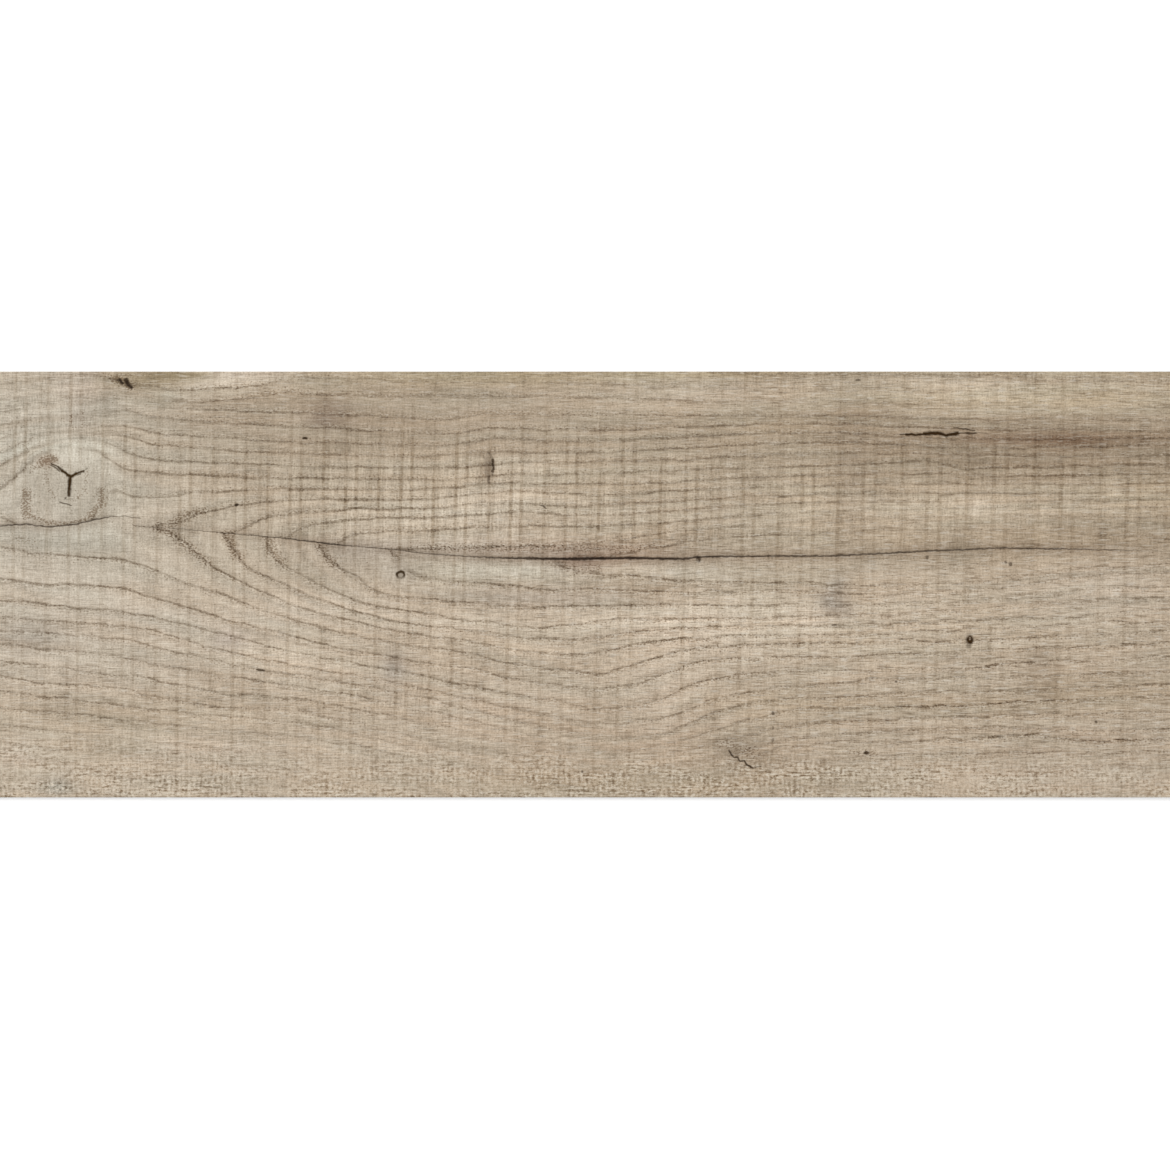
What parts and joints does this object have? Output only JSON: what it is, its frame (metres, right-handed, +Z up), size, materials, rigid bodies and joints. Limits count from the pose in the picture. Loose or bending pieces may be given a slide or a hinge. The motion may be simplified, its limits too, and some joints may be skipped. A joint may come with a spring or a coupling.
{
  "type": "vinyl floor plank",
  "caption": "Thin rectangular wood-look vinyl floor plank with square sides and a micro-bevelled printed face, laid flat and glued down as floor covering.",
  "frame": {"origin": "middle of the back, on the surface that the plank lies on", "axes": "+X along the plank and its printed grain, +Y across the plank, +Z up out of the printed face"},
  "size_m": [1.2192, 0.1778, 0.0025],
  "materials": {
    "printed_vinyl": "matt clear wear layer over a printed rough-sawn oak grain, grey-beige"
  },
  "bodies": {
    "root": {"plank": "printed_vinyl"}
  },
  "joints": []
}
